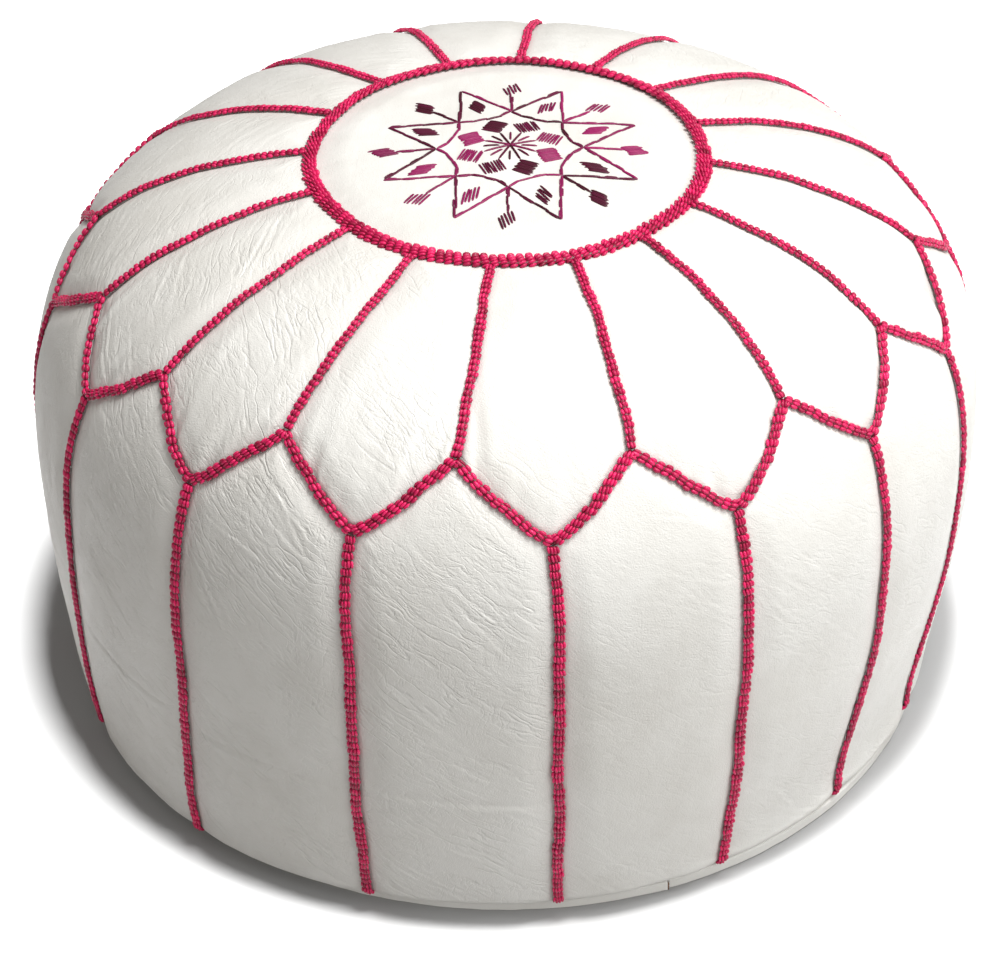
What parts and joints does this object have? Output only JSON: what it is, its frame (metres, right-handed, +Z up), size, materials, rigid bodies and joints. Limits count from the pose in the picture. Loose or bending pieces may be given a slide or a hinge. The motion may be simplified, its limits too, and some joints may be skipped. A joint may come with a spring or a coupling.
{
  "type": "moroccan leather pouf",
  "caption": "Round stuffed leather floor pouf with petal panels, braided seams, an embroidered top medallion and a zip in its base.",
  "frame": {"origin": "on the floor under the middle of the pouf", "axes": "+Z up through the middle of the medallion; -Y towards the front radial seam; the zip in the base runs along X"},
  "size_m": [0.52, 0.52, 0.3267],
  "materials": {
    "white_leather": "soft white goatskin, fine grain, low sheen",
    "pink_braid": "braided silk thread, satin",
    "plum_thread": "embroidery thread running from dark plum to magenta, satin",
    "brown_thread": "waxed thread, matte",
    "white_thread": "sewing thread, matte",
    "zip_tape": "woven cotton tape, matte",
    "zip_brass": "satin brass",
    "liner_cotton": "plain woven cotton, matte",
    "stuffing_fibre": "cotton wadding, matte"
  },
  "bodies": {
    "pouf": {"petal_01": "white_leather", "petal_02": "white_leather", "petal_03": "white_leather", "petal_04": "white_leather", "petal_05": "white_leather", "petal_06": "white_leather", "petal_07": "white_leather", "petal_08": "white_leather", "petal_09": "white_leather", "petal_10": "white_leather", "petal_11": "white_leather", "petal_12": "white_leather", "petal_13": "white_leather", "petal_14": "white_leather", "petal_15": "white_leather", "petal_16": "white_leather", "side_panel_01": "white_leather", "side_panel_02": "white_leather", "side_panel_03": "white_leather", "side_panel_04": "white_leather", "side_panel_05": "white_leather", "side_panel_06": "white_leather", "side_panel_07": "white_leather", "side_panel_08": "white_leather", "side_panel_09": "white_leather", "side_panel_10": "white_leather", "side_panel_11": "white_leather", "side_panel_12": "white_leather", "side_panel_13": "white_leather", "side_panel_14": "white_leather", "side_panel_15": "white_leather", "side_panel_16": "white_leather", "top_medallion": "white_leather", "base_band": "white_leather", "base_panel_front": "white_leather", "base_panel_back": "white_leather", "star_outline_stitches": "plum_thread", "star_ray_stitches": "plum_thread", "rosette_stitches": "plum_thread", "starburst_stitches": "plum_thread", "plume_stitches": "plum_thread", "medallion_ring_braid": "pink_braid", "radial_seam_braids": "pink_braid", "zigzag_seam_braids": "pink_braid", "side_seam_braids": "pink_braid", "band_joint_stitch": "brown_thread", "base_seam_stitches": "white_thread", "zipper_stitches": "white_thread", "zipper_tape_front": "zip_tape", "zipper_tape_back": "zip_tape", "zipper_teeth_front": "zip_brass", "zipper_teeth_back": "zip_brass", "zipper_top_stops": "zip_brass", "zipper_bottom_stop": "zip_brass", "liner_bag": "liner_cotton", "stuffing": "stuffing_fibre"},
    "slider": {"zipper_slider": "zip_brass"},
    "pull_tab": {"zipper_pull_tab": "zip_brass"}
  },
  "joints": [
    {"name": "zip_slide", "type": "slide", "parent": "pouf", "child": "slider", "axis": [-1, 0, 0], "range_m": [0, 0.29], "deforming": ["zipper_teeth_front", "zipper_teeth_back"]},
    {"name": "pull_tab_swing", "type": "hinge", "parent": "slider", "child": "pull_tab", "pos_m": [0.152, 0, 0.0034], "axis": [0, -1, 0], "range_deg": [0, 170]}
  ]
}
